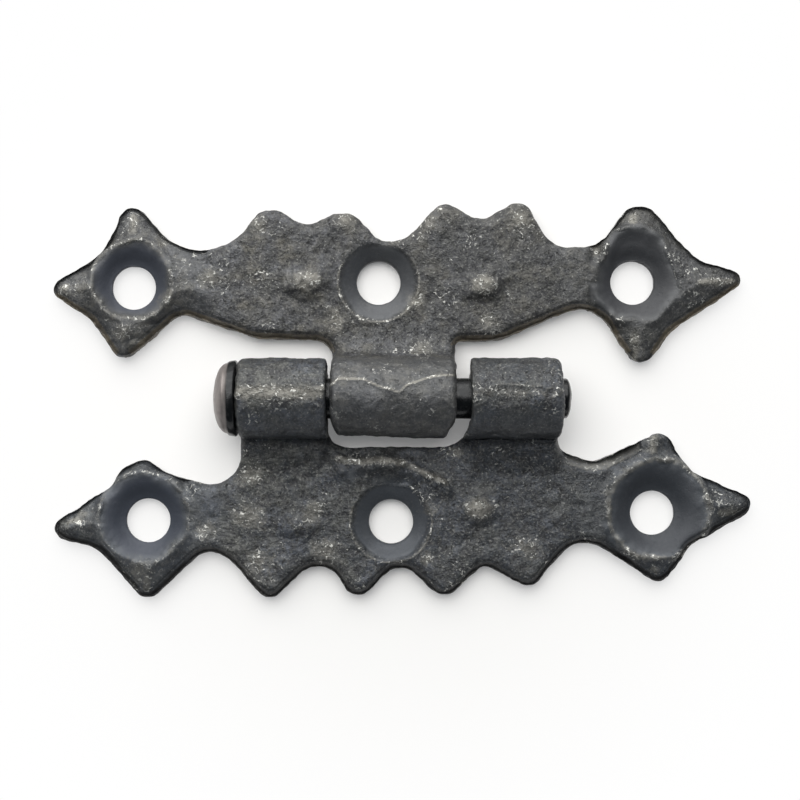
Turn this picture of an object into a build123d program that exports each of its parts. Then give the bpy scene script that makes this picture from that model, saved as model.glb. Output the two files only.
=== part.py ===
from build123d import *
import math
import os

# Star hinge: two hand-forged iron leaves with star ends that turn on a riveted pin.
# X runs along the pin, Y across the leaves and Z out from the wall. Both backs lie on Z = 0.

# Sheet of both leaves
plate_thickness = 1.9
edge_round = 0.65
cutout_edge_round = 0.25

# Pin: a domed head at the left end and a peened tail at the right end
pin_diameter = 4.0
pin_clearance = 0.05
head_diameter = 7.5
head_rim = 1.0
head_dome = 1.35
head_edge = 0.25
head_clearance = 0.1
tail_length = 0.5
tail_dome = 0.6

# Knuckles along X: one on the upper leaf between two on the lower leaf
middle_knuckle_centre = -0.65
middle_knuckle_width = 12.2
left_knuckle_width = 8.65
right_knuckle_width = 8.8
left_gap = 0.45
right_gap = 1.5

# Roll of each knuckle: the angle at which the sheet runs on to the barrel, and its bend
middle_lead_angle = 15.0
middle_bend_radius = 2.4
left_lead_angle = -15.0
left_bend_radius = 1.4
right_lead_angle = 0.0
right_bend_radius = 1.6
seam_angle = 60.0

# Room between a bend and the edge of the plate beside it, and past the far side of a barrel
shoulder_margin = 0.15
far_margin = 0.15
line_fuzz = 0.01

# Screw holes, countersunk in a pressed dish
hole_diameter = 4.4
countersink_diameter = 7.6
countersink_depth = 1.0
dish_half_width = 4.2
dish_half_height = 5.3
dish_depth = 0.4
dish_slope_angle = 65.0
dish_round = 2.0

# Rows of holes: how far each row stands from the pin, and each hole from the middle of the row
upper_row = 11.8
lower_row = 12.0
upper_left_reach = 26.75
upper_middle_reach = 2.15
upper_right_reach = 23.35
lower_left_reach = 25.1
lower_middle_reach = 0.9
lower_right_reach = 25.15

# How far the forging put a hole below or above its row
upper_left_drop = 0.5
lower_middle_drop = 0.1
lower_right_rise = 0.75
upper_left_hole = (-upper_left_reach, upper_row - upper_left_drop)
upper_middle_hole = (-upper_middle_reach, upper_row)
upper_right_hole = (upper_right_reach, upper_row)
lower_left_hole = (-lower_left_reach, -lower_row)
lower_middle_hole = (-lower_middle_reach, -lower_row - lower_middle_drop)
lower_right_hole = (lower_right_reach, -lower_row + lower_right_rise)

# Raised bosses between the holes: their size, how far along the row, and how far below or above it
boss_radius = 2.2
boss_height = 0.85
upper_left_boss_reach = 9.4
upper_left_boss_drop = 0.2
upper_right_boss_reach = 8.4
upper_right_boss_drop = 0.4
lower_left_boss_reach = 10.2
lower_left_boss_drop = 0.9
lower_right_boss_reach = 7.8
lower_right_boss_rise = 1.0
upper_bosses = [
    (-upper_left_boss_reach, upper_row - upper_left_boss_drop),
    (upper_right_boss_reach, upper_row - upper_right_boss_drop),
]
lower_bosses = [
    (-lower_left_boss_reach, -lower_row - lower_left_boss_drop),
    (lower_right_boss_reach, -lower_row + lower_right_boss_rise),
]

# Radii that round the corners of the outlines, and the part of a side that its two rounds may take up
tip_round = 1.05
corner_round = 1.4
flank_round = 3.5
crest_round = 1.5
hollow_round = 2.0
valley_round = 3.0
neck_round = 5.5
root_round = 1.8
cutout_round = 3.0
barrel_corner_round = 0.5
side_share = 0.98

# Star ends: the corners of each, from its screw hole, running clockwise
upper_left_star = [
    (-1.15, -7.7, corner_round),
    (-4.2, -3.15, hollow_round),
    (-9.0, -0.25, tip_round),
    (-3.3, 3.3, flank_round),
    (-0.45, 8.95, corner_round),
]
upper_right_star = [
    (0.6, 8.85, hollow_round),
    (6.3, 2.4, flank_round),
    (12.25, 0.6, tip_round),
    (3.7, -4.9, flank_round),
    (0.7, -9.1, corner_round),
]
lower_left_star = [
    (0.05, -8.15, corner_round),
    (-5.1, -2.75, flank_round),
    (-10.6, -1.15, tip_round),
    (-3.8, 3.3, hollow_round),
    (-2.5, 5.25, corner_round),
    (-0.35, 6.2, corner_round),
    (1.7, 4.7, flank_round),
]
lower_right_star = [
    (1.2, 8.3, corner_round),
    (3.65, 4.2, flank_round),
    (11.05, 0.9, tip_round),
    (3.55, -3.3, flank_round),
    (0.9, -7.25, corner_round),
]

# Scalloped outer edges between the stars, from left to right: heights are from the row of holes
upper_scallops = [
    (-22.4, 3.3, neck_round),
    (-17.1, 3.25, neck_round),
    (-13.95, 7.35, crest_round),
    (-12.2, 7.3, crest_round),
    (-9.4, 5.55, hollow_round),
    (-6.6, 7.0, crest_round),
    (-4.8, 7.0, crest_round),
    (-2.2, 4.15, hollow_round),
    (0.6, 4.25, valley_round),
    (3.85, 7.9, crest_round),
    (4.9, 7.95, crest_round),
    (8.0, 6.15, hollow_round),
    (12.35, 8.5, crest_round),
    (15.2, 3.5, valley_round),
    (19.85, 3.5, flank_round),
]
lower_scallops = [
    (-19.6, -2.95, hollow_round),
    (-17.4, -3.3, valley_round),
    (-13.0, -8.2, crest_round),
    (-9.1, -4.5, hollow_round),
    (-6.7, -4.75, hollow_round),
    (-4.3, -8.2, crest_round),
    (-0.7, -4.6, hollow_round),
    (0.9, -4.8, valley_round),
    (4.5, -7.85, crest_round),
    (8.1, -4.4, hollow_round),
    (9.3, -4.75, valley_round),
    (12.9, -6.9, crest_round),
    (16.8, -2.3, valley_round),
    (19.4, -2.2, flank_round),
]

# Inner edges of the upper leaf from each star to its tongue
upper_right_shoulder = [(19.3, 9.95, flank_round), (9.8, 5.95, neck_round)]
upper_left_shoulder = [(-14.5, 6.2, neck_round), (-22.05, 8.8, hollow_round)]
upper_right_root_round = 0.7
barrel_trim_round = 2.2

# Inner edges of the lower leaf where each neck runs up into its knuckle
lower_left_neck_depth = 9.45
lower_left_neck_round = 3.0
lower_right_neck_depth = 4.95
lower_right_neck_round = 1.0
lower_right_shoulder = (19.3, -6.4, valley_round)

# Sizes that follow from the ones above
pin_radius = pin_diameter / 2
bore_radius = pin_radius + pin_clearance
roll_radius = bore_radius + plate_thickness / 2
pin_height = bore_radius + plate_thickness
middle_left = middle_knuckle_centre - middle_knuckle_width / 2
middle_right = middle_knuckle_centre + middle_knuckle_width / 2
left_inner = middle_left - left_gap
left_outer = left_inner - left_knuckle_width
right_inner = middle_right + right_gap
right_outer = right_inner + right_knuckle_width
far_reach = pin_height + far_margin
through_height = 2 * pin_height


def lead_length(lead_angle):
    """Length from the barrel's tangent point straight down to the middle of the sheet."""
    lead = math.radians(lead_angle)
    return roll_radius * (1 + math.sin(lead)) / math.cos(lead)


def bend_start(lead_angle, bend_radius):
    """Distance from the pin at which the flat sheet starts to bend up to the barrel."""
    lead = math.radians(lead_angle)
    corner = roll_radius * math.cos(lead) + lead_length(lead_angle) * math.sin(lead)
    return corner + bend_radius * math.tan((math.pi / 2 - lead) / 2)


middle_root = bend_start(middle_lead_angle, middle_bend_radius)
left_root = bend_start(left_lead_angle, left_bend_radius)
right_root = bend_start(right_lead_angle, right_bend_radius)
upper_shoulder_y = middle_root + shoulder_margin
cutout_y = -max(left_root, right_root) - shoulder_margin


def sheet_side(lead_angle, bend_radius, offset):
    """One side of the rolled sheet: up the bend, along the lead and round the barrel."""
    turn = 90 - lead_angle
    straight = lead_length(lead_angle) - bend_radius * math.tan(math.radians(turn / 2))
    start = (bend_start(lead_angle, bend_radius), plate_thickness / 2 + offset)
    bend = JernArc(start, (-1, 0), bend_radius - offset, -turn)
    lead = Line(bend @ 1, bend @ 1 + (bend % 1) * straight)
    barrel = JernArc(lead @ 1, lead % 1, roll_radius + offset, 360 - seam_angle - lead_angle)
    return [bend, lead, barrel]


def rolled_sheet(lead_angle, bend_radius):
    """Section of a knuckle across the pin, with the free end left open at the back."""
    front = sheet_side(lead_angle, bend_radius, plate_thickness / 2)
    back = sheet_side(lead_angle, bend_radius, -plate_thickness / 2)
    root = Line(front[0] @ 0, back[0] @ 0)
    free_end = Line(front[-1] @ 1, back[-1] @ 1)
    return make_face(front + back + [root, free_end])


def rounded_outline(corners):
    """Face inside the corners, each rounded to its radius as far as its two sides allow."""
    points = [Vector(x, y) for x, y, radius in corners]
    count = len(points)
    turns = []
    for i, point in enumerate(points):
        before = point - points[i - 1]
        after = points[(i + 1) % count] - point
        turns.append(math.radians(before.get_angle(after)))
    lengths = [corner[2] * math.tan(turn / 2) for corner, turn in zip(corners, turns)]
    radii = []
    for i, corner in enumerate(corners):
        share = 1.0
        for j in (i - 1, (i + 1) % count):
            side = (points[j] - points[i]).length
            share = min(share, side_share * side / (lengths[i] + lengths[j]))
        radii.append(corner[2] * share)
    return make_face(FilletPolyline(*points, radius=radii, close=True))


def placed(origin, corners):
    """Corners moved to their place, such as a star end about its screw hole."""
    return [(origin[0] + x, origin[1] + y, radius) for x, y, radius in corners]


def upper_outline():
    tongue = [
        (middle_right, upper_shoulder_y, upper_right_root_round),
        (middle_right, -far_reach, barrel_trim_round),
        (middle_left, -far_reach, barrel_corner_round),
        (middle_left, upper_shoulder_y, root_round),
    ]
    return rounded_outline(
        placed(upper_left_hole, upper_left_star)
        + placed((0, upper_row), upper_scallops)
        + placed(upper_right_hole, upper_right_star)
        + upper_right_shoulder
        + tongue
        + upper_left_shoulder
    )


def lower_outline():
    knuckles = [
        (left_outer, -lower_left_neck_depth, lower_left_neck_round),
        (left_outer, far_reach, barrel_corner_round),
        (left_inner, far_reach, barrel_corner_round),
        (left_inner, cutout_y, root_round),
        (right_inner, cutout_y, cutout_round),
        (right_inner, far_reach, barrel_corner_round),
        (right_outer, far_reach, barrel_corner_round),
        (right_outer, -lower_right_neck_depth, lower_right_neck_round),
        lower_right_shoulder,
    ]
    return rounded_outline(
        placed(lower_left_hole, lower_left_star)
        + knuckles
        + placed(lower_right_hole, lower_right_star)
        + placed((0, -lower_row), lower_scallops[::-1])
    )


def leaf(outline, knuckles, side):
    """Blanked sheet with its tongues rolled up; side is 1 for the upper leaf, -1 for the lower."""
    flat = outline
    rolls = []
    for left, right, lead_angle, bend_radius in knuckles:
        root = bend_start(lead_angle, bend_radius)
        width = right - left + 2 * cutout_round
        tongue_box = Pos((left + right) / 2, side * (root - far_reach) / 2) * Rectangle(
            width, root + far_reach
        )
        flat -= tongue_box
        section = Plane.YZ * rolled_sheet(lead_angle, bend_radius)
        strip = Pos((left + right) / 2) * extrude(section, width / 2, both=True)
        if side < 0:
            strip = mirror(strip, about=Plane.XZ)
        rolls.append(strip & extrude(outline & tongue_box, through_height))
    body = extrude(flat, plate_thickness)
    for roll in rolls:
        body += roll
    return body


def front_edges(body, bend_lines):
    """Edges round the flat front of a leaf, without the lines where its tongues bend up."""
    front = body.faces().filter_by(Axis.Z).sort_by(SortBy.AREA)[-2:].sort_by(Axis.Z)[-1]
    edges = front.edges()
    for y in bend_lines:
        edges -= edges.filter_by(Axis.X).filter_by_position(Axis.Y, y - line_fuzz, y + line_fuzz)
    return edges


def in_cutout(edge):
    """True for an edge of the gap between the two knuckles of the lower leaf."""
    middle = edge @ 0.5
    return left_inner < middle.X < right_inner and middle.Y > cutout_y - line_fuzz


def screw_holes(holes):
    """Cutters for the countersunk screw holes."""
    cutter = Part()
    for x, y in holes:
        bore = Cylinder(hole_diameter / 2, through_height)
        sink = Pos(0, 0, plate_thickness - countersink_depth / 2) * Cone(
            hole_diameter / 2, countersink_diameter / 2, countersink_depth
        )
        cutter += Pos(x, y) * (bore + sink)
    return cutter


def star_dishes(holes):
    """Cutters for the shallow pressed dishes of the star ends."""
    rim = rounded_outline(
        [
            (-dish_half_width, 0, dish_round),
            (0, dish_half_height, dish_round),
            (dish_half_width, 0, dish_round),
            (0, -dish_half_height, dish_round),
        ]
    )
    dish = extrude(rim, -dish_depth, taper=dish_slope_angle)
    cutter = Part()
    for x, y in holes:
        cutter += Pos(x, y, plate_thickness) * dish
    return cutter


def bosses(centres):
    """Low domes raised from the front of the plate."""
    dome_radius = (boss_radius**2 + boss_height**2) / (2 * boss_height)
    dome = Pos(0, 0, boss_height - dome_radius) * Sphere(dome_radius)
    dome &= Pos(0, 0, boss_height / 2) * Cylinder(dome_radius, boss_height)
    raised = Part()
    for x, y in centres:
        raised += Pos(x, y, plate_thickness) * dome
    return raised


def upper_leaf():
    knuckle = (middle_left, middle_right, middle_lead_angle, middle_bend_radius)
    body = leaf(upper_outline(), [knuckle], 1)
    body = fillet(front_edges(body, [middle_root]), edge_round)
    body += bosses(upper_bosses)
    body -= star_dishes([upper_left_hole, upper_right_hole])
    return body - screw_holes([upper_left_hole, upper_middle_hole, upper_right_hole])


def lower_leaf():
    knuckles = [
        (left_outer, left_inner, left_lead_angle, left_bend_radius),
        (right_inner, right_outer, right_lead_angle, right_bend_radius),
    ]
    body = leaf(lower_outline(), knuckles, -1)
    bend_lines = [-left_root, -right_root]
    outer_edges = front_edges(body, bend_lines).filter_by(in_cutout, reverse=True)
    body = fillet(outer_edges, edge_round)
    body = fillet(front_edges(body, bend_lines).filter_by(in_cutout), cutout_edge_round)
    body += bosses(lower_bosses)
    body -= star_dishes([lower_left_hole, lower_right_hole])
    return body - screw_holes([lower_left_hole, lower_middle_hole, lower_right_hole])


def dome_arc(x, radius, rise):
    """Half section of a dome that rises along X from a circle of this radius to the axis."""
    sphere = (radius**2 + rise**2) / (2 * abs(rise))
    half_angle = math.asin(radius / sphere) / 2
    centre = x + rise - math.copysign(sphere, rise)
    reach = math.copysign(sphere * math.cos(half_angle), rise)
    return ThreePointArc((x, radius), (centre + reach, sphere * math.sin(half_angle)), (x + rise, 0))


def hinge_pin():
    """Rivet turned about the pin's axis: domed head, shank and peened tail."""
    head_radius = head_diameter / 2
    head_face = left_outer - head_clearance
    dome_base = head_face - head_rim
    tail_start = right_outer + tail_length
    dome = dome_arc(dome_base, head_radius - head_edge, -head_dome)
    edge = Line(dome @ 0, (dome_base + head_edge, head_radius))
    rim = Line(edge @ 1, (head_face, head_radius))
    under = Line(rim @ 1, (head_face, pin_radius))
    shank = Line(under @ 1, (tail_start, pin_radius))
    tail = dome_arc(tail_start, pin_radius, tail_dome)
    axis = Line(dome @ 1, tail @ 1)
    section = make_face([dome, edge, rim, under, shank, tail, axis])
    return Pos(0, 0, pin_height) * revolve(section, Axis.X)


os.makedirs("parts", exist_ok=True)
export_step(upper_leaf(), "parts/upper_leaf.step")
export_step(lower_leaf(), "parts/lower_leaf.step")
export_step(hinge_pin(), "parts/hinge_pin.step")
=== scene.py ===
import math
from collections import namedtuple

import bmesh
import bpy
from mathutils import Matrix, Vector, kdtree, noise


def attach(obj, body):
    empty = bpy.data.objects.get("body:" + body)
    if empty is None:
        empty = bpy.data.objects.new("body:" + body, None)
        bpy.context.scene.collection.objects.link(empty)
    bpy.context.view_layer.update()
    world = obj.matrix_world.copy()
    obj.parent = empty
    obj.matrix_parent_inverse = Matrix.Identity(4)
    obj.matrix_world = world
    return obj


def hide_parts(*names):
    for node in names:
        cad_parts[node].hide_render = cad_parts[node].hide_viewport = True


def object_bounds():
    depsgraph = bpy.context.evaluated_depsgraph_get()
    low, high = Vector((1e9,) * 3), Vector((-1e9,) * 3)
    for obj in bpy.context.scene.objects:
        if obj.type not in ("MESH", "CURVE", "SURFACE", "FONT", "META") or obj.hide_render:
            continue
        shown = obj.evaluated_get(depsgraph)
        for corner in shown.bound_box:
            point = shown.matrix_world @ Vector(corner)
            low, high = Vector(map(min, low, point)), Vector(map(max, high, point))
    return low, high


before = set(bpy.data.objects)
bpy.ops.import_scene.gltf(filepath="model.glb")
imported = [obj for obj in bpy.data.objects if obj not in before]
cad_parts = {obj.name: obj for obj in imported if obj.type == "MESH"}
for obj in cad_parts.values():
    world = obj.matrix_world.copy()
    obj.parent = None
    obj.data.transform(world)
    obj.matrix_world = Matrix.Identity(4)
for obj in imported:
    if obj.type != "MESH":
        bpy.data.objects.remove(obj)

cad_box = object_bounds()
MM = 0.001

# Bowl round a hole in a star: place, radius, depth and how crisp its rim is
Bowl = namedtuple("Bowl", "x y radius depth rim")

# Boss on a leaf: place, height, half width, half depth and how bright its crown is, rubbed and with a painted
# highlight
Boss = namedtuple("Boss", "x y height half_width half_depth rubbed")

# What is on a leaf: middles of the star holes and of the middle hole, bowls, bosses, patches of flakes and
# painted glints, the details of its own, and the seed of its hammer marks
Leaf = namedtuple("Leaf", "stars middle bowls bosses wear details seed")

# Pin, sheet and bosses of the hinge, in millimetres like all that follows
PIN_HEIGHT = 3.95
BORE_RADIUS = 2.05
BORE_EDGE = BORE_RADIUS + 0.2
BORE_LINING = BORE_RADIUS + 0.05
PLATE = 1.9
BOSS_FULL = 2.2
BOSS_REACH = 2.7

UPPER_STARS = [(-26.75, 11.3), (23.35, 11.8)]
UPPER_MIDDLE = (-2.15, 11.8)
UPPER_BOWLS = [
    Bowl(-26.75, 12.0, 3.6, 0.3, 0.7), Bowl(23.65, 11.8, 3.8, 0.12, 0.35), Bowl(23.5, 14.0, 3.0, 0.36, 0.35),
]
UPPER_BOSSES = [Boss(-9.3, 11.7, 0.7, 2.0, 1.25, 0.8), Boss(8.4, 11.3, 0.75, 1.75, 1.4, 0.7)]
LOWER_STARS = [(-25.1, -12.0), (25.15, -11.25)]
LOWER_MIDDLE = (-0.9, -12.1)
LOWER_BOWLS = [Bowl(-25.45, -11.75, 4.1, 0.25, 0.6), Bowl(25.6, -10.9, 4.6, 0.32, 0.85)]
LOWER_BOSSES = [Boss(-10.2, -12.5, 0.45, 2.0, 0.95, 0.4), Boss(7.8, -11.0, 0.62, 1.8, 1.4, 0.8)]

# Patches of bright flakes and painted glints on the faces and the scallops: place and radius
UPPER_WEAR_AND_GLINTS = [
    (-14.1, 17.5, 1.3), (-5.4, 18.1, 1.1), (-19.1, 11.9, 1.3), (-23.2, 10.3, 0.9), (-6.3, 7.8, 1.2),
    (1.4, 9.9, 1.0), (3.0, 18.2, 1.4), (11.9, 18.2, 1.5), (8.8, 7.8, 1.2), (19.8, 15.2, 0.8), (2.0, 4.8, 1.0),
    (-23.9, 15.8, 0.8), (-27.7, 6.6, 1.1), (-32.2, 11.1, 0.9), (-33.9, 10.9, 0.6),
]
LOWER_WEAR_AND_GLINTS = [
    (-15.2, -11.3, 1.5), (-19.0, -13.0, 1.2), (-14.0, -16.4, 1.9), (-7.3, -15.0, 1.6), (-8.6, -10.9, 1.0),
    (-14.3, -7.6, 1.3), (3.0, -10.9, 0.9), (2.6, -15.7, 1.0), (12.6, -14.6, 1.5), (5.8, -5.2, 0.8),
    (-26.0, -17.0, 1.3), (-31.6, -11.4, 0.8),
]

# Wavy end of the tongue where it laps over the middle barrel, from left to right, and the dent by its notch
LAP_LINE = [
    (-6.8, 0.8), (-5.96, 1.63), (-3.55, 1.63), (-2.21, 1.05), (-0.67, 0.57), (-0.1, 0.33),
    (0.58, 1.05), (1.87, 1.53), (3.17, 1.92), (5.6, 2.1),
]
NOTCH = (-1.34, 1.4)

# Ends of the two tongues on the left and right barrels
LEFT_LAP = [(-16.0, -0.1), (-14.8, 0.7), (-13.0, 1.3), (-11.4, 1.1), (-9.6, 1.1), (-8.0, 0.7)]
RIGHT_LAP = [(7.7, 0.2), (8.6, 0.9), (10.0, 1.2), (12.0, 1.0), (14.0, 0.9), (16.0, 0.5)]

# Ragged lip that the punch for the lower middle hole pushed up, from left to right, with a flat pad at its
# left end and a hollow below it
LIP_LINE = [
    (-6.6, -5.6), (-5.4, -6.1), (-4.0, -6.2), (-2.2, -6.0), (-0.8, -6.1), (0.6, -6.4),
    (2.0, -7.1), (3.2, -7.7), (4.8, -8.3),
]
LIP_PAD = (-4.9, -7.4)
LIP_HOLLOW = (-0.7, -8.3)

# Fineness of the forged skin in metres, and the rings round the holes that are smoothed before it is
# hammered: inner and outer radius, and turns
SKIN = 0.18 * MM
STAR_RING = (2.45, 5.6, 60)
MIDDLE_RING = (3.2, 4.7, 14)

# Hammer marks, scale and grain: height, size of the lumps and shift of the seed
HAMMER_MARKS = [(0.1, 2.6, 0), (0.1, 1.1, 3), (0.065, 0.55, 5)]

# What makes bowls, bosses, patches and stains uneven: strength, size of the lumps and shift of the seed
BOWL_WOBBLE = (0.09, 2.2, 7)
BOSS_WOBBLE = (0.3, 1.3, 13)
PATCH_WOBBLE = (0.6, 1.5, 17)
STAIN_WOBBLE = (0.3, 1.6, 19)

# Where back and front of the plate begin and end, by the tilt of the surface and by height
BACK_TILT = (0.3, 0.7)
BACK_HEIGHT = (0.5, 1.0)
FRONT_TILT = (0.0, 0.5)
PLATE_TOP = (2.6, 3.4)

# Where bowls, stains, dishes and star points begin and end, in radii of the bowl
BOWL_RANGE = (0.75, 1.1)
STAIN_RANGE = (0.8, 1.4)
DISH_RANGE = (0.55, 1.08)
POINT_RANGE = (1.05, 1.3)
BOWL_RIM = 1.08

# The same from the middle of a hole, in millimetres: end of the star points, sink of the middle hole, its
# rim, and the walls of the holes
POINT_END = (13.0, 14.0)
SINK_RANGE = (3.35, 4.2)
MIDDLE_RIM = 4.05
HOLE_WALL = (2.6, 3.0)

# The upper side of the middle hole's rim is lower, and its painted highlight fainter, as the light falls on
# the lower side: by how much, and where above the hole's middle
RIM_FADE = 0.85
RIM_FADE_RANGE = (1.0, 3.4)

# Distance that stands for far off from the outline, the least distance that is reckoned with, and how far
# below a place its nearest edge lies, as a share of their distance, to be a low edge
FAR_OFF = 9.0
LEAST_AWAY = 0.05
LOW_EDGE = (0.1, 0.7)

# Values that the skin carries for its material, the bulge that counts as worn, and the turns that even it out
SKIN_VALUES = ("worn", "smooth", "polish_and_highlight", "brown_edge_and_shade_line")
WORN_BULGE = (0.02, 0.2)
BULGE_TURNS = 2

# Rivet: places along the pin, and radii
HEAD_BASE, HEAD_DOME, HEAD_RADIUS, HEAD_STEPS = -16.95, 1.34, 3.5, 12
HEAD_RIM = [(-16.78, 3.68), (-16.6, 3.74), (-16.1, 3.74), (-15.99, 3.66), (-15.96, 3.4), (-15.96, 2.1)]
SHANK_START, SHANK_LENGTH, SHANK_RADIUS, SHANK_STEPS = -15.9, 32.1, 2.0, 20
TAIL_START, TAIL_DOME, TAIL_STEPS = 16.25, 0.59, 7
PIN_SIDES = 72

# Colours of the iron that both leaves share
SCALE_BLACK = (0.03, 0.031, 0.034, 1)
GRAIN_GREY = (0.17, 0.17, 0.155, 1)
GRAIN_PALE = (0.26, 0.26, 0.245, 1)
GRAIN_BLACK = (0.022, 0.022, 0.024, 1)
PIT_BLACK = (0.014, 0.014, 0.015, 1)
# Rubbed grey, partly worn iron and partly a painted highlight
RUBBED_AND_HIGHLIGHT_GREY = (0.27, 0.26, 0.23, 1)
# Dark line along the crease above the low edges: painted shade
EDGE_BLACK = (0.012, 0.012, 0.012, 1)
# Bright flakes: worn specks of bare iron, partly painted glints
FLAKE_AND_GLINT_BRIGHT = (0.55, 0.55, 0.52, 1)

# Colours of the rivet
SHANK_BLACK = (0.012, 0.013, 0.014, 1)
# Pale grey of the worn head, partly a painted reflection of the paper
HEAD_WORN_AND_REFLECTION_GREY = (0.25, 0.225, 0.215, 1)
RIVET_GRAIN = (0.1, 0.1, 0.1, 1)

# Round sheet of paper below the hinge, in metres, and how white it is close to the hinge
PAPER_COLOUR = (0.9, 0.893, 0.88, 1)
PAPER_GAP = 0.05 * MM
PAPER_RADIUS = 2.0
PAPER_RIM = 0.3
PAPER_SIDES = 96
NEAR_WHITE = 0.15
WHITE_RANGE = (0.012, 0.05)


def ease(value, low, high):
    """Rises smoothly from 0 at low to 1 at high."""
    t = min(max((value - low) / (high - low), 0.0), 1.0)
    return t * t * (3 - 2 * t)


def hump(distance, width):
    """1 at no distance, falling off smoothly over this width."""
    return math.exp(-((distance / width) ** 2))


def bumps(x, y, z, size, seed):
    """Smooth noise between about -1 and 1 with lumps of this size in millimetres."""
    return noise.noise(Vector((x / size + seed, y / size - seed, z / size + 2 * seed)))


def wobble(x, y, seed, kind):
    strength, size, shift = kind
    return strength * bumps(x, y, 0, size, seed + shift)


def flat_distance(x, y, point):
    return math.hypot(x - point[0], y - point[1])


def hole_distance(x, y, holes):
    return min(flat_distance(x, y, hole) for hole in holes)


def bore_distance(y, z):
    return math.hypot(y, z - PIN_HEIGHT)


def height_on(line, x):
    """Height of a line that runs from left to right, at this x."""
    for (x0, y0), (x1, y1) in zip(line, line[1:]):
        if x <= x1:
            return y0 + (y1 - y0) * max(x - x0, 0) / (x1 - x0)
    return line[-1][1]


def new_piece(name, mesh):
    piece = bpy.data.objects.new(name, mesh)
    bpy.context.scene.collection.objects.link(piece)
    return piece


def fine_skin(name, node):
    """The leaf's solid as one even skin of small faces."""
    solid = bmesh.new()
    solid.from_mesh(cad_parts[node].data)
    bmesh.ops.remove_doubles(solid, verts=solid.verts, dist=0.001 * MM)
    mesh = bpy.data.meshes.new(name + "_blank")
    solid.to_mesh(mesh)
    solid.free()
    blank = new_piece(name + "_blank", mesh)
    remesh = blank.modifiers.new("skin", "REMESH")
    remesh.mode = "VOXEL"
    remesh.voxel_size = SKIN
    bpy.context.view_layer.update()
    graph = bpy.context.evaluated_depsgraph_get()
    fine = bpy.data.meshes.new_from_object(blank.evaluated_get(graph))
    bpy.data.objects.remove(blank)
    return fine


def outline_tree(skin, holes):
    """Points of the wall round the leaf's outline, to measure how far a point is from the edge."""
    wall = []
    for vert in skin.verts:
        x, y, z = vert.co / MM
        on_wall = abs(vert.normal.z) < 0.35 and 0.3 < z < 1.2 and abs(y) > 4.6
        if on_wall and hole_distance(x, y, holes) > 3.0:
            wall.append(Vector((x, y, 0)))
    tree = kdtree.KDTree(len(wall))
    for i, point in enumerate(wall):
        tree.insert(point, i)
    tree.balance()
    return tree


def soften(skin, holes, near, far, turns):
    """Smooth the face of the leaf in a ring round each of these holes."""
    ring = []
    for vert in skin.verts:
        x, y, z = vert.co / MM
        on_face = z > 0.75 and vert.normal.z > 0.2
        if on_face and near < hole_distance(x, y, holes) < far:
            ring.append(vert)
    for _ in range(turns):
        bmesh.ops.smooth_vert(
            skin, verts=ring, factor=0.5, use_axis_x=True, use_axis_y=True, use_axis_z=True
        )


class Spot:
    """One place on the skin of a leaf, in millimetres, and where it lies on the leaf."""

    def __init__(self, leaf, outline, vert):
        x, y, z = vert.co / MM
        n = vert.normal
        self.x, self.y, self.z, self.n = x, y, z, n
        self.star_x, self.star_y = min(leaf.stars, key=lambda star: flat_distance(x, y, star))
        self.star = flat_distance(x, y, (self.star_x, self.star_y))
        self.middle = flat_distance(x, y, leaf.middle)
        self.low_side = 1 - RIM_FADE * ease(y - leaf.middle[1], *RIM_FADE_RANGE)
        self.uneven = 1 + wobble(x, y, leaf.seed, BOWL_WOBBLE)
        nearest_bowl = min(leaf.bowls, key=lambda bowl: flat_distance(x, y, bowl) / bowl.radius)
        self.rim = nearest_bowl.rim
        self.reach = self.uneven * flat_distance(x, y, nearest_bowl) / nearest_bowl.radius
        self.point = ease(self.reach, *POINT_RANGE) * (1 - ease(self.star, *POINT_END))
        self.back = ease(-n.z, *BACK_TILT) * (1 - ease(z, *BACK_HEIGHT))
        self.front = ease(n.z, *FRONT_TILT) * (1 - ease(z, *PLATE_TOP))
        self.bowl = (1 - ease(self.reach, *BOWL_RANGE)) * (1 - self.back)
        self.sink = (1 - ease(self.middle * self.uneven, *SINK_RANGE)) * (1 - self.back)
        self.away, self.facing = FAR_OFF, 0.0
        if self.front > 0:
            nearest, _, self.away = outline.find(Vector((x, y, 0)))
            self.facing = ease((y - nearest.y) / max(self.away, LEAST_AWAY), *LOW_EDGE)


# How much fainter the hammer marks are in smooth places and on the back, and where they begin at the bore
SMOOTH_FADE = 0.85
BACK_FADE = 0.6
BORE_RANGE = (BORE_EDGE, BORE_RADIUS + 0.7)


def hammered(spot, seed):
    """Hammer marks, fainter in the smooth places and on the back, and none in the bore."""
    lift = sum(
        height * bumps(spot.x, spot.y, spot.z, size, seed + shift) for height, size, shift in HAMMER_MARKS
    )
    rough = 1 - SMOOTH_FADE * max(spot.bowl, spot.sink)
    lift *= rough * ease(bore_distance(spot.y, spot.z), *BORE_RANGE)
    return spot.n * (lift * (1 - BACK_FADE * spot.back))


# Ridges on the star points: slope, width, and where they begin and end inside the middles of the stars
RIDGE_SLOPE, RIDGE_WIDTH = 0.36, 2.4
RIDGE_FROM, RIDGE_TO = 5.0, 3.5

# Worn edges: drop and width of all of them, slope and width of the low ones, and how much less in a bowl
EDGE_DROP, EDGE_WIDTH = 0.2, 1.2
LOW_EDGE_SLOPE, LOW_EDGE_WIDTH = 0.75, 0.6
BOWL_FADE = 0.7


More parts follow.
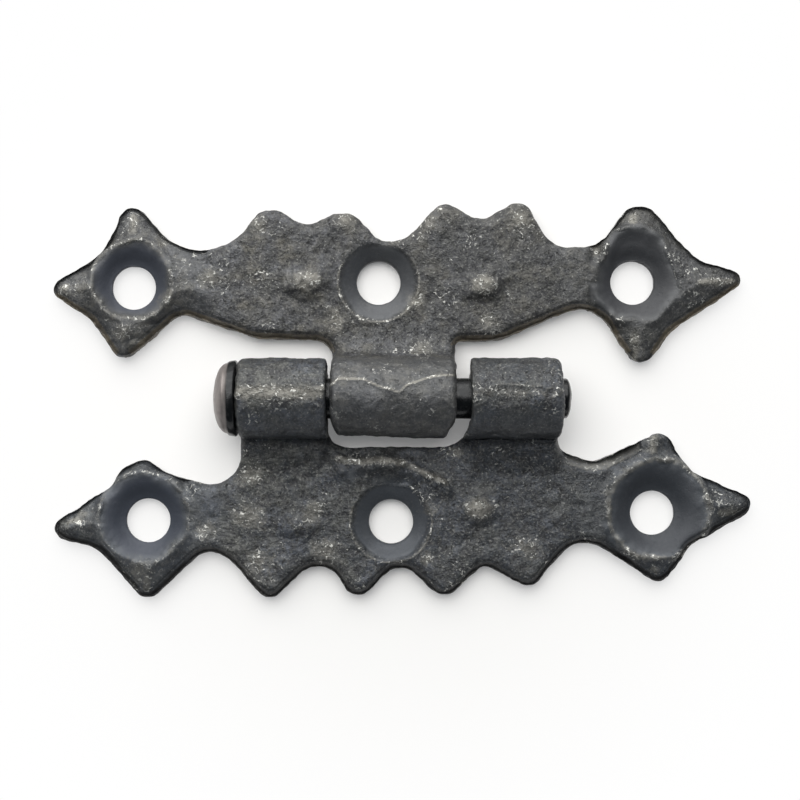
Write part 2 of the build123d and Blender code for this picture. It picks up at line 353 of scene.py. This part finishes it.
def wear_down(move, spot, outer):
    """Hammer the edges down, and leave ridges out to the points of the stars."""
    ridge = RIDGE_SLOPE * max(0.0, RIDGE_WIDTH - spot.away) * spot.point
    ridge *= ease(abs(spot.x), outer - RIDGE_FROM, outer - RIDGE_TO)
    edge = EDGE_DROP * (1 - ease(spot.away, 0.0, EDGE_WIDTH))
    edge += LOW_EDGE_SLOPE * max(0.0, LOW_EDGE_WIDTH - spot.away) * spot.facing
    move.z -= spot.front * max(ridge, edge) * (1 - BOWL_FADE * spot.bowl)


# Raised rims round the bowls, in radii of the bowl, and round the middle hole: height and width
BOWL_RIM_HEIGHT, BOWL_RIM_WIDTH = 0.1, 0.13
MIDDLE_RIM_HEIGHT, MIDDLE_RIM_WIDTH = 0.09, 0.22

# Heights between which the pressing sets in, so that the walls of the holes stay
PRESS_RANGE = (0.5, 1.4)


def press_bowls(move, spot, bowls):
    """Press the bowls in, with a raised rim round them and round the middle hole."""
    rim = BOWL_RIM_HEIGHT * spot.rim * hump(spot.reach - BOWL_RIM, BOWL_RIM_WIDTH)
    rim += MIDDLE_RIM_HEIGHT * spot.low_side * hump(spot.middle - MIDDLE_RIM, MIDDLE_RIM_WIDTH)
    dish = max(
        bowl.depth * (1 - ease(flat_distance(spot.x, spot.y, bowl) / bowl.radius * spot.uneven, *DISH_RANGE))
        for bowl in bowls
    )
    move.z += spot.front * (rim - dish) * ease(spot.z, *PRESS_RANGE)


# How flat the mounds of the bosses are
MOUND_POWER = 1.5


def boss_spread(spot, boss, up=0.0):
    """Distance from the middle of a boss, 1 at its half width and half depth."""
    return math.hypot((spot.x - boss.x) / boss.half_width, (spot.y - boss.y - up) / boss.half_depth)


def raise_bosses(move, spot, bosses, seed):
    """Put an uneven flat mound in the place of each boss."""
    for boss in bosses:
        distance = flat_distance(spot.x, spot.y, boss)
        if distance < BOSS_REACH:
            spread = (1 + wobble(spot.x, spot.y, seed, BOSS_WOBBLE)) * boss_spread(spot, boss)
            mound = PLATE + boss.height * hump(spread ** MOUND_POWER, 1.0)
            move.z += spot.front * (mound - spot.z) * (1 - ease(distance, BOSS_FULL, BOSS_REACH))


# Bright lines on the rims, painted highlights along the worn rims: strength and width
BOWL_LINE, BOWL_LINE_WIDTH = 0.7, 0.12
MIDDLE_LINE, MIDDLE_LINE_WIDTH = 0.65, 0.16

# Bright points of the stars, painted highlights along their ridges: strength left and right, and where they
# begin and end inside the stars' middles
LEFT_TIP, RIGHT_TIP = 0.36, 0.32
TIP_FROM, TIP_TO = 3.5, 2.0

# Bright spines of the points that lie sideways and upright, painted highlights: strength, width, and where
# they begin
SIDE_SPINE, SIDE_SPINE_WIDTH, SIDE_SPINE_START = 0.8, 0.5, (5.6, 6.8)
UPRIGHT_SPINE, UPRIGHT_SPINE_WIDTH, UPRIGHT_SPINE_START = 0.7, 0.7, (4.6, 5.6)

# How far points and spines keep off the outline
TIP_INSET = (0.5, 1.1)
SPINE_INSET = (0.3, 0.7)

# Bright crowns, a little above the middles of the bosses towards the light, rubbed and with painted
# highlights, and patches of flakes and painted glints: strength and width
CROWN_UP, CROWN_WIDTH = 0.2, 0.9
PATCH_STRENGTH, PATCH_WIDTH = 0.6, 1.35


def rubbed_and_highlight_bright(spot, leaf, outer):
    """How bright the rims, points and spines of the stars, crowns of the bosses and patches are: rubbed wear,
    and painted highlights and glints.
    """
    x, y = spot.x, spot.y
    rim = max(
        BOWL_LINE * spot.rim * hump(spot.reach - BOWL_RIM, BOWL_LINE_WIDTH),
        MIDDLE_LINE * spot.low_side * hump(spot.middle - MIDDLE_RIM, MIDDLE_LINE_WIDTH),
    )
    tip = (LEFT_TIP if x < 0 else RIGHT_TIP) * spot.point * ease(abs(x), outer - TIP_FROM, outer - TIP_TO)
    tip *= ease(spot.away, *TIP_INSET)
    sideways = hump(y - spot.star_y, SIDE_SPINE_WIDTH) * ease(abs(x) - abs(spot.star_x), *SIDE_SPINE_START)
    upright = hump(x - spot.star_x, UPRIGHT_SPINE_WIDTH) * ease(abs(y - spot.star_y), *UPRIGHT_SPINE_START)
    spine = spot.point * max(SIDE_SPINE * sideways, UPRIGHT_SPINE * upright)
    spine *= ease(spot.away, *SPINE_INSET)
    crown = max(
        boss.rubbed * hump(boss_spread(spot, boss, CROWN_UP) ** MOUND_POWER, CROWN_WIDTH)
        for boss in leaf.bosses
    )
    ragged = 1 + wobble(x, y, leaf.seed, PATCH_WOBBLE)
    patch = max(
        PATCH_STRENGTH * hump(ragged * flat_distance(x, y, (at_x, at_y)), PATCH_WIDTH * radius)
        for at_x, at_y, radius in leaf.wear
    )
    return spot.front * max(rim, tip, spine, crown, patch)


# Walls below the plate's edge: their tilt to the front and upward, their top, and where the plate begins
WALL_TILT, WALL_UPWARD, WALL_TOP = (0.2, 0.7), (0.2, 0.6), (1.6, 2.0)
PLATE_START = (4.4, 5.0)

# Width of the brown on the face, and the dark line above it, painted shade along the crease: strength,
# distance from the outline and width
BROWN_WIDTH = (0.4, 0.55)
DARK_LINE, DARK_LINE_AWAY, DARK_LINE_WIDTH = 0.45, 0.7, 0.1


def brown_edge_and_shade_line(spot):
    """Brown of the low edges; below 0 it is the dark line that runs above them, painted shade along the
    crease.
    """
    n = spot.n
    brown_and_shade_line = ease(-n.y, *WALL_TILT) * (1 - ease(n.z, *WALL_UPWARD)) * (1 - ease(spot.z, *WALL_TOP))
    brown_and_shade_line *= min(ease(spot.star, *HOLE_WALL), ease(spot.middle, *HOLE_WALL))
    brown_and_shade_line *= ease(abs(spot.y), *PLATE_START)
    if spot.front > 0:
        brown_and_shade_line = max(brown_and_shade_line, spot.front * spot.facing * (1 - ease(spot.away, *BROWN_WIDTH)))
        brown_and_shade_line -= DARK_LINE * spot.front * spot.facing * hump(spot.away - DARK_LINE_AWAY, DARK_LINE_WIDTH)
    return brown_and_shade_line


# Blue of the stars: strength left and right, and where it ends
LEFT_BLUE, RIGHT_BLUE, BLUE_RANGE = 0.5, 0.3, (6.5, 9.5)


def smoothness(spot, seed, even):
    """How smooth and blue the skin is: most in the bowls, less in the stains round them and on the stars."""
    stain = 1 - ease(spot.reach + wobble(spot.x, spot.y, seed, STAIN_WOBBLE), *STAIN_RANGE)
    blue_star = (LEFT_BLUE if spot.x < 0 else RIGHT_BLUE) * (1 - ease(spot.star, *BLUE_RANGE)) * spot.front
    return max(max(spot.bowl, spot.sink, stain * spot.front) + spot.bowl, blue_star, even)


def move_skin(skin, moves):
    """Move the skin, keep the bore round and stay inside the box of the solids."""
    for vert, move in zip(skin.verts, moves):
        vert.co += move * MM
        x, y, z = vert.co / MM
        bore = bore_distance(y, z)
        if bore < BORE_EDGE:
            spread = BORE_LINING / bore
            vert.co.y = y * spread * MM
            vert.co.z = (PIN_HEIGHT + (z - PIN_HEIGHT) * spread) * MM
        for i in range(3):
            low, high = cad_box[0][i], cad_box[1][i]
            vert.co[i] = min(max(vert.co[i], low), high)
    skin.normal_update()


def bulges_of(skin):
    """How far each point of the skin stands out from its neighbours, evened out among them."""
    skin.verts.index_update()
    bulges = []
    for vert in skin.verts:
        rise = sum((edge.other_vert(vert).co - vert.co).dot(vert.normal) for edge in vert.link_edges)
        bulges.append(-rise / len(vert.link_edges) / SKIN)
    for _ in range(BULGE_TURNS):
        bulges = [
            (bulges[vert.index] + sum(bulges[edge.other_vert(vert).index] for edge in vert.link_edges))
            / (len(vert.link_edges) + 1)
            for vert in skin.verts
        ]
    return bulges


def forge_leaf(name, node, body, leaf):
    """Dress a leaf: worn-down edges, ridged star points, bowls, bosses and a hammered face."""
    fine = fine_skin(name, node)
    skin = bmesh.new()
    skin.from_mesh(fine)
    skin.normal_update()
    outline = outline_tree(skin, leaf.stars + [leaf.middle])
    soften(skin, leaf.stars, *STAR_RING)
    soften(skin, [leaf.middle], *MIDDLE_RING)
    skin.normal_update()

    outer = min(abs(x) for x, y in leaf.stars)
    moves = []
    looks = []
    for vert in skin.verts:
        spot = Spot(leaf, outline, vert)
        move = hammered(spot, leaf.seed)
        bright = 0.0
        if spot.front > 0:
            wear_down(move, spot, outer)
            press_bowls(move, spot, leaf.bowls)
            raise_bosses(move, spot, leaf.bosses, leaf.seed)
            bright = rubbed_and_highlight_bright(spot, leaf, outer)
        more, polish_and_highlight, even = leaf.details(spot)
        moves.append(move + more)
        looks.append((smoothness(spot, leaf.seed, even), max(polish_and_highlight, bright), brown_edge_and_shade_line(spot)))
    move_skin(skin, moves)

    layers = [skin.verts.layers.float.new(value) for value in SKIN_VALUES]
    for vert, bulge, look in zip(skin.verts, bulges_of(skin), looks):
        for layer, value in zip(layers, (ease(bulge, *WORN_BULGE), *look)):
            vert[layer] = value
    for face in skin.faces:
        face.smooth = True
    mesh = bpy.data.meshes.new(name)
    skin.to_mesh(mesh)
    skin.free()
    bpy.data.meshes.remove(fine)
    piece = new_piece(name, mesh)
    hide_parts(node)
    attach(piece, body)
    return piece


# Top of the barrels, by height and by tilt
BARREL_HEIGHT, BARREL_TILT = (5.2, 6.4), (0.1, 0.5)


def barrel_top(spot):
    return ease(spot.z, *BARREL_HEIGHT) * ease(spot.n.z, *BARREL_TILT)


# Hammered end of a tongue: height of its step, where it rises, the share of it that is cut into the barrel,
# and height and width of the bead along it
LAP_STEP, LAP_RANGE, LAP_SUNK = 0.07, (-0.7, 0.1), 0.9
LAP_BEAD, LAP_BEAD_WIDTH = 0.06, 0.16


def lap(x, y, line):
    """How far a tongue's hammered end stands up at this place, and how far it is from the end."""
    past = y - height_on(line, x)
    lift = LAP_STEP * (ease(past, *LAP_RANGE) - LAP_SUNK) + LAP_BEAD * hump(past, LAP_BEAD_WIDTH)
    return lift, past


# Dent by the notch, and the rise where the tongue leaves the plate: height, place and width
NOTCH_DEPTH, NOTCH_WIDTH = 0.16, 0.35
ROOT_RISE, ROOT_PLACE, ROOT_WIDTH = 0.25, 5.0, 0.9

# Low side of the middle barrel: where it begins, and how far its right, left and lower ends are cut back
LOW_SIDE = (1.4, 3.9)
RIGHT_CUT, RIGHT_CUT_RANGE = 1.5, (4.3, 6.3)
LEFT_CUT, LEFT_CUT_RANGE = 0.5, (-6.8, -5.6)
LOWER_CUT, LOWER_CUT_RANGE = 0.3, (-6.0, 5.0)


def upper_details(spot):
    """The lap of the tongue over the middle barrel, a dent by its notch, and the barrel's uneven end."""
    x, y, z, n, front = spot.x, spot.y, spot.z, spot.n, spot.front
    top = barrel_top(spot)
    move = Vector((0, 0, 0))
    polish_and_highlight = 0.0
    if top > 0:
        lift, past = lap(x, y, LAP_LINE)
        lift -= NOTCH_DEPTH * hump(flat_distance(x, y, NOTCH), NOTCH_WIDTH)
        move += n * (lift * top)
        # Bright line along the tongue's end: rubbed, with a painted highlight
        polish_and_highlight = top * max(hump(past, 0.13), 0.3 * ease(past, -0.1, 0.2))
    if abs(x) < 8 and y < 0 and z > 1:
        side = ease(-y, *LOW_SIDE)
        move.x -= RIGHT_CUT * side * side * ease(x, *RIGHT_CUT_RANGE)
        move.x += LEFT_CUT * side * side * (1 - ease(x, *LEFT_CUT_RANGE))
        move.y += LOWER_CUT * side * (1 - ease(x, *LOWER_CUT_RANGE))
    if front > 0 and abs(x) < 6:
        move.z += ROOT_RISE * hump(y - ROOT_PLACE, ROOT_WIDTH) * front
    return move, polish_and_highlight, 0.5 * ease(z, 3.4, 5.0)


# Ramps up to the left and right barrels: height, and where they begin and end
LEFT_RAMP, LEFT_RAMP_RANGE = 0.5, (-7.2, -4.7)
RIGHT_RAMP, RIGHT_RAMP_RANGE = 0.9, (-7.8, -4.3)
RAMP_INNER, RAMP_OUTER = (6.8, 8.0), (15.2, 16.4)

# Lip above the middle hole: height, raggedness, width below and above it, and its ends
LIP_HEIGHT, LIP_RAGGED = 0.5, 0.4
LIP_BELOW, LIP_ABOVE = 1.5, 0.5
LIP_LEFT, LIP_RIGHT = (-7.2, -6.0), (4.2, 5.6)

# Pad and hollow by the lip: height or depth, how much longer than wide, and width
PAD_RISE, PAD_STRETCH, PAD_WIDTH = 0.2, 1.7, 0.75
HOLLOW_DEPTH, HOLLOW_STRETCH, HOLLOW_WIDTH = 0.3, 2.6, 0.9

# Bevelled right neck: where it begins and ends, its lower side, and slope and width of the bevel
NECK_START, NECK_END, NECK_LOW = (15.5, 17.0), (25.0, 26.5), (-8.5, -7.6)
BEVEL_SLOPE, BEVEL_WIDTH, BEVEL_LINE = 0.75, 1.1, (0.9, 1.2)


def lower_details(spot):
    """Laps on the outer barrels, ramps up to them, the lip above the middle hole, and a bevelled neck."""
    x, y, z, n, front = spot.x, spot.y, spot.z, spot.n, spot.front
    top = barrel_top(spot)
    even = 0.4 * ease(z, 3.0, 5.0) * ease(-y, 0.3, 2.0)
    if top > 0:
        lift, past = lap(x, y, LEFT_LAP if x < 0 else RIGHT_LAP)
        # Crests of the left and right barrels: rubbed, with a painted highlight where the light falls
        rub_and_highlight = 0.8 if x < 0 else 0.45
        return n * (lift * top), top * max(0.5 * hump(past, 0.15), rub_and_highlight * hump(y - 0.4, 0.85)), even
    move = Vector((0, 0, 0))
    polish_and_highlight = 0.0
    if front > 0 and y > -8.5:
        across = ease(abs(x), *RAMP_INNER) * (1 - ease(abs(x), *RAMP_OUTER))
        ramp = LEFT_RAMP * ease(y, *LEFT_RAMP_RANGE) if x < 0 else RIGHT_RAMP * ease(y, *RIGHT_RAMP_RANGE)
        move.z += ramp * across * front
    if front > 0 and abs(x) < 8:
        below = height_on(LIP_LINE, x) - y
        width = LIP_BELOW if below > 0 else LIP_ABOVE
        ends = ease(x, *LIP_LEFT) * (1 - ease(x, *LIP_RIGHT))
        lift = (LIP_HEIGHT + LIP_RAGGED * bumps(x, y, 0, 0.9, 2.0)) * hump(below, width) * ends
        pad = hump(math.hypot((x - LIP_PAD[0]) / PAD_STRETCH, y - LIP_PAD[1]), PAD_WIDTH)
        hollow = hump(math.hypot((x - LIP_HOLLOW[0]) / HOLLOW_STRETCH, y - LIP_HOLLOW[1]), HOLLOW_WIDTH)
        move.z += (lift + PAD_RISE * pad - HOLLOW_DEPTH * hollow) * front
        polish_and_highlight = 0.8 * hump(below, 0.5) * ends * front
        even = 0.7 * max(hollow, pad) * front
    if front > 0 and NECK_START[0] < x < NECK_END[1] and y > NECK_LOW[0]:
        neck = ease(x, *NECK_START) * (1 - ease(x, *NECK_END)) * ease(y, *NECK_LOW)
        move.z -= BEVEL_SLOPE * max(0.0, BEVEL_WIDTH - spot.away) * neck * front
        bevel = neck * (1 - ease(spot.away, *BEVEL_LINE))
        polish_and_highlight = 0.6 * bevel
        even = 0.8 * bevel
    return move, polish_and_highlight, even


def pin_profile():
    """The rivet's outline from the top of its head to the end of its tail: place along the pin and radius."""
    profile = []
    for step in range(HEAD_STEPS + 1):
        angle = math.radians(90 * step / HEAD_STEPS)
        profile.append((HEAD_BASE - HEAD_DOME * math.cos(angle), HEAD_RADIUS * math.sin(angle)))
    profile += HEAD_RIM
    for step in range(SHANK_STEPS):
        profile.append((SHANK_START + SHANK_LENGTH * step / SHANK_STEPS, SHANK_RADIUS))
    for step in range(TAIL_STEPS + 1):
        angle = math.radians(90 * step / TAIL_STEPS)
        profile.append((TAIL_START + TAIL_DOME * math.sin(angle), SHANK_RADIUS * math.cos(angle)))
    return profile


def make_pin():
    """The rivet: one profile spun round the pin's axis, with a dented head and tail."""
    pin = bmesh.new()
    verts = [pin.verts.new((x * MM, 0, (PIN_HEIGHT + r) * MM)) for x, r in pin_profile()]
    for a, b in zip(verts, verts[1:]):
        pin.edges.new((a, b))
    bmesh.ops.spin(
        pin,
        geom=pin.verts[:] + pin.edges[:],
        cent=(0, 0, PIN_HEIGHT * MM),
        axis=(1, 0, 0),
        angle=math.radians(360),
        steps=PIN_SIDES,
        use_merge=True,
    )
    bmesh.ops.remove_doubles(pin, verts=pin.verts, dist=0.002 * MM)
    bmesh.ops.recalc_face_normals(pin, faces=pin.faces)
    pin.normal_update()
    for vert in pin.verts:
        x, y, z = vert.co / MM
        outside = ease(x, -16.2, -16.6) if x < 0 else ease(x, 16.0, 16.3)
        dent = 0.06 * bumps(x, y, z, 1.3, 4.0) + 0.03 * bumps(x, y, z, 0.6, 9.0) - 0.05
        vert.co += vert.normal * dent * outside * MM
    for face in pin.faces:
        face.smooth = True
    mesh = bpy.data.meshes.new("riveted_pin")
    pin.to_mesh(mesh)
    pin.free()
    piece = new_piece("riveted_pin", mesh)
    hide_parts("hinge_pin")
    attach(piece, "lower")
    return piece


class Shade:
    """A socket in a material: sums and products of these add Math nodes."""

    def __init__(self, tree, socket=None):
        self.tree = tree
        self.socket = socket

    def node(self, kind, settings=None, sockets=None, output=0):
        """Add a node of this type: its settings first, then the values or links of its sockets."""
        made = self.tree.nodes.new(kind)
        for name, value in (settings or {}).items():
            setattr(made, name, value)
        for name, value in (sockets or {}).items():
            if isinstance(value, Shade):
                self.tree.links.new(value.socket, made.inputs[name])
            else:
                made.inputs[name].default_value = value
        return Shade(self.tree, made.outputs[output] if made.outputs else None)

    def maths(self, operation, first, second):
        return self.node("ShaderNodeMath", {"operation": operation}, {0: first, 1: second})

    def __add__(self, other):
        return self.maths("ADD", self, other)

    def __radd__(self, other):
        return self.maths("ADD", other, self)

    def __sub__(self, other):
        return self.maths("SUBTRACT", self, other)

    def __rsub__(self, other):
        return self.maths("SUBTRACT", other, self)

    def __mul__(self, other):
        return self.maths("MULTIPLY", self, other)

    def __rmul__(self, other):
        return self.maths("MULTIPLY", other, self)

    def size(self):
        return self.maths("ABSOLUTE", self, 0.0)

    def rise(self, low, high):
        """0 at low, 1 at high, smooth between."""
        return self.node(
            "ShaderNodeMapRange",
            {"interpolation_type": "SMOOTHSTEP"},
            {"Value": self, "From Min": low, "From Max": high},
        )

    def grain(self, scale, detail=3.0, rough=0.55):
        """Noise on this place, with this many lumps to the millimetre."""
        return self.node(
            "ShaderNodeTexNoise", None, {"Vector": self, "Scale": scale, "Detail": detail, "Roughness": rough}
        )

    def tint(self, low, high):
        """Colour that goes from low at 0 to high at 1."""
        return self.node(
            "ShaderNodeMix", {"data_type": "RGBA"}, {"Factor": self, 6: low, 7: high}, output=2
        )


def new_material(name):
    material = bpy.data.materials.new(name)
    material.use_nodes = True
    material.node_tree.nodes.clear()
    return material, Shade(material.node_tree)


def millimetres(shade):
    """Place on the object, and its x, in millimetres."""
    metres = shade.node("ShaderNodeTexCoord", output="Object")
    place = shade.node("ShaderNodeVectorMath", {"operation": "SCALE"}, {0: metres, "Scale": 1000.0})
    return place, shade.node("ShaderNodeSeparateXYZ", None, {"Vector": place})


def finish_material(shade, colour, roughness, metallic, height, depth):
    """Principled surface with a bump of this depth in millimetres."""
    bump = shade.node(
        "ShaderNodeBump", None, {"Strength": 1.0, "Distance": depth * MM, "Height": height}
    )
    surface = shade.node(
        "ShaderNodeBsdfPrincipled",
        None,
        {"Base Color": colour, "Roughness": roughness, "Metallic": metallic, "Normal": bump},
    )
    shade.node("ShaderNodeOutputMaterial", None, {"Surface": surface})


def forged_iron(name, brownish, bluish, dark, sink, left_bowl, right_bowl, edge):
    """Blackened iron: brown and blue patches, pits, bright flakes that are partly worn and partly painted
    glints, rubbed places with painted highlights, smooth bowls, and brown edges with a painted shade line.
    """
    material, shade = new_material(name)
    place, along = millimetres(shade)
    worn, even, polish_and_highlight, brown_and_shade_line = [
        shade.node("ShaderNodeAttribute", {"attribute_name": value}, output="Fac") for value in SKIN_VALUES
    ]
    smooth = even.rise(0.0, 1.0)
    deep = (even + (place.grain(1.4, 3.0, 0.6) - 0.5) * 0.7).rise(0.7, 1.9)

    # Patches some millimetres wide, then mottle, grain and pits
    patch = place.grain(0.22, 3.0, 0.6).rise(0.42, 0.58)
    blotch = place.grain(0.5, 4.0, 0.6).rise(0.32, 0.58)
    cluster = place.grain(0.3, 2.0).rise(0.54, 0.68)
    mottle = place.grain(1.1, 5.0, 0.68)
    grain = place.grain(3.2, 3.0, 0.6)
    fine = place.grain(4.6, 2.0, 0.65)
    speck = place.grain(1.9, 4.0, 0.7)
    pits = place.grain(1.6, 4.0, 0.65).rise(0.6, 0.7) + place.grain(3.8, 2.0, 0.6).rise(0.63, 0.7) * 0.8

    # Bright flakes, partly worn specks of bare iron and partly painted glints: broken curls, specks and fine
    # dots, most of them where the iron is worn or rubbed
    curl = 1 - (place.grain(1.25, 2.0, 0.5) - 0.5).size().rise(0.01, 0.05)
    broken = place.grain(2.1, 2.0, 0.5).rise(0.5, 0.58)
    curls = curl * broken * (cluster * 0.9 + worn * 0.5 + polish_and_highlight * 1.6).rise(0.3, 0.9)
    specks = (speck + worn * 0.14 + cluster * 0.06 + polish_and_highlight * 0.12).rise(0.72, 0.77)
    dots = (fine + cluster * 0.05 + polish_and_highlight * 0.06).rise(0.7, 0.76)
    flakes_and_glints = (curls * 0.8 + specks + dots * 0.6) * (1 - even.rise(0.65, 1.0) * 0.9)
    # Rubbed places, partly worn and partly painted highlights
    rubbed = (polish_and_highlight * 0.75 + speck * 0.7 - 0.2).rise(0.35, 0.75)

    colour = patch.tint(brownish, bluish)
    colour = blotch.tint(dark, colour)
    colour = (along.rise(-18.0, 12.0) * 0.5).tint(colour, dark)
    colour = mottle.rise(0.34, 0.62).tint(SCALE_BLACK, colour)
    layers = [
        (grain.rise(0.45, 0.75) * 0.4, GRAIN_GREY),
        (fine.rise(0.54, 0.72) * 0.5, GRAIN_PALE),
        (fine.rise(0.46, 0.3) * 0.65, GRAIN_BLACK),
        (pits.rise(0.0, 1.0) * 0.7, PIT_BLACK),
        (smooth * 0.85, sink),
        (deep * 0.95, along.rise(-10.0, 10.0).tint(left_bowl, right_bowl)),
        (along.rise(14.0, 24.0) * 0.25, dark),
        (rubbed * 0.55, RUBBED_AND_HIGHLIGHT_GREY),
        (brown_and_shade_line.rise(0.0, 0.7) * (0.4 + mottle.rise(0.36, 0.6) * 0.5), edge),
        # Painted shade: the dark line along the crease above the low edges
        ((0 - brown_and_shade_line).rise(0.0, 0.6) * 0.8, EDGE_BLACK),
        (flakes_and_glints.rise(0.0, 1.0) * 0.9, FLAKE_AND_GLINT_BRIGHT),
    ]
    for share, paint in layers:
        colour = share.tint(colour, paint)
    roughness = 0.46 - flakes_and_glints * 0.16 + deep * 0.08 + (grain - 0.5) * 0.3
    metallic = 0.42 + (flakes_and_glints + rubbed) * 0.3 - deep * 0.2
    height = mottle * 0.8 + grain * 0.4 + fine * 0.2 + speck * 0.35 + flakes_and_glints * 0.12 - pits * 0.4
    finish_material(shade, colour, roughness, metallic, height * (1 - smooth * 0.85), depth=0.2)
    return material


def pin_iron():
    """Smooth black shank, with a dull worn head whose pale grey is partly a painted reflection of the paper.
    """
    material, shade = new_material("riveted_pin_iron")
    place, along = millimetres(shade)
    head = 1 - along.rise(-16.9, -16.6)
    grain = place.grain(1.8, 4.0, 0.6)
    colour = head.tint(SHANK_BLACK, HEAD_WORN_AND_REFLECTION_GREY)
    colour = (grain.rise(0.45, 0.75) * 0.25).tint(colour, RIVET_GRAIN)
    roughness = 0.24 + head * 0.2 + (grain - 0.5) * 0.15
    finish_material(shade, colour, roughness, 0.5 + head * 0.2, grain, depth=0.03)
    return material


def white_floor():
    """Round sheet of pale paper with a low rim: it keeps the hinge's shadow and is white further off."""
    material, shade = new_material("white_paper")
    paper = shade.node("ShaderNodeBsdfDiffuse", None, {"Color": PAPER_COLOUR})
    white = shade.node("ShaderNodeEmission", None, {"Color": (1, 1, 1, 1), "Strength": 1.0})
    seen = shade.node("ShaderNodeLightPath", output="Is Camera Ray")
    mirrored = shade.node("ShaderNodeLightPath", output="Is Glossy Ray")
    through = shade.node("ShaderNodeLightPath", output="Is Transmission Ray")
    place = shade.node("ShaderNodeTexCoord", output="Object")
    away = shade.node("ShaderNodeVectorMath", {"operation": "LENGTH"}, {0: place}, output="Value")
    glow = (seen + mirrored + through) * (NEAR_WHITE + away.rise(*WHITE_RANGE) * (1 - NEAR_WHITE))
    both = shade.node("ShaderNodeMixShader", None, {0: glow, 1: paper, 2: white})
    shade.node("ShaderNodeOutputMaterial", None, {"Surface": both})
    mesh = bpy.data.meshes.new("floor")
    sheet = bmesh.new()
    bmesh.ops.create_circle(sheet, cap_ends=True, segments=PAPER_SIDES, radius=PAPER_RADIUS)
    bmesh.ops.translate(sheet, verts=sheet.verts, vec=(0, 0, -PAPER_GAP))
    outer = [edge for edge in sheet.edges if edge.is_boundary]
    rim = bmesh.ops.extrude_edge_only(sheet, edges=outer)["geom"]
    rim_verts = [part for part in rim if isinstance(part, bmesh.types.BMVert)]
    bmesh.ops.translate(sheet, verts=rim_verts, vec=(0, 0, PAPER_RIM))
    sheet.to_mesh(mesh)
    sheet.free()
    floor = new_piece("floor", mesh)
    mesh.materials.append(material)


def soft_lamp(name, place, size, watts, colour):
    """Square soft lamp that points at the middle of the hinge."""
    lamp = bpy.data.lights.new(name, "AREA")
    lamp.shape = "SQUARE"
    lamp.size = size
    lamp.energy = watts
    lamp.color = colour
    stand = bpy.data.objects.new(name, lamp)
    stand.location = place
    stand.rotation_euler = (-Vector(place)).to_track_quat("-Z", "Y").to_euler()
    bpy.context.scene.collection.objects.link(stand)


def studio():
    """Paper, one large lamp like a window behind the hinge, and a dim bluish room."""
    white_floor()
    soft_lamp("window_lamp", place=(-0.08, 0.4, 0.42), size=1.0, watts=9.8, colour=(1, 0.99, 0.97))
    world = bpy.data.worlds.new("room")
    bpy.context.scene.world = world
    world.use_nodes = True
    world.node_tree.nodes.clear()
    shade = Shade(world.node_tree)
    room = shade.node("ShaderNodeBackground", None, {"Color": (0.7, 0.85, 1, 1), "Strength": 0.08})
    shade.node("ShaderNodeOutputWorld", None, {"Surface": room})


def photo_camera():
    """Camera nearly straight above the hinge, a little towards the lower leaf."""
    lens = bpy.data.cameras.new("photo_camera")
    lens.sensor_width = 36
    lens.lens = 67.5
    lens.clip_start = 0.01
    camera = bpy.data.objects.new("photo_camera", lens)
    target = Vector((0, 0, 0.001))
    camera.location = (0, -0.008, 0.1508)
    camera.rotation_euler = (target - camera.location).to_track_quat("-Z", "Y").to_euler()
    bpy.context.scene.collection.objects.link(camera)
    bpy.context.scene.camera = camera


upper = forge_leaf(
    "upper_forged_leaf",
    "upper_leaf",
    "upper",
    Leaf(UPPER_STARS, UPPER_MIDDLE, UPPER_BOWLS, UPPER_BOSSES, UPPER_WEAR_AND_GLINTS, upper_details, seed=1.7),
)
lower = forge_leaf(
    "lower_forged_leaf",
    "lower_leaf",
    "lower",
    Leaf(LOWER_STARS, LOWER_MIDDLE, LOWER_BOWLS, LOWER_BOSSES, LOWER_WEAR_AND_GLINTS, lower_details, seed=6.3),
)
pin = make_pin()
upper.data.materials.append(
    forged_iron(
        "upper_leaf_iron",
        brownish=(0.118, 0.112, 0.096, 1),
        bluish=(0.092, 0.095, 0.104, 1),
        dark=(0.046, 0.047, 0.047, 1),
        sink=(0.084, 0.088, 0.094, 1),
        left_bowl=(0.05, 0.056, 0.072, 1),
        right_bowl=(0.038, 0.04, 0.046, 1),
        edge=(0.16, 0.14, 0.108, 1),
    )
)
lower.data.materials.append(
    forged_iron(
        "lower_leaf_iron",
        brownish=(0.098, 0.1, 0.094, 1),
        bluish=(0.078, 0.087, 0.106, 1),
        dark=(0.038, 0.043, 0.05, 1),
        sink=(0.08, 0.088, 0.1, 1),
        left_bowl=(0.046, 0.053, 0.07, 1),
        right_bowl=(0.034, 0.038, 0.046, 1),
        edge=(0.034, 0.033, 0.032, 1),
    )
)
pin.data.materials.append(pin_iron())
studio()
photo_camera()
bpy.context.scene.view_settings.view_transform = "Standard"
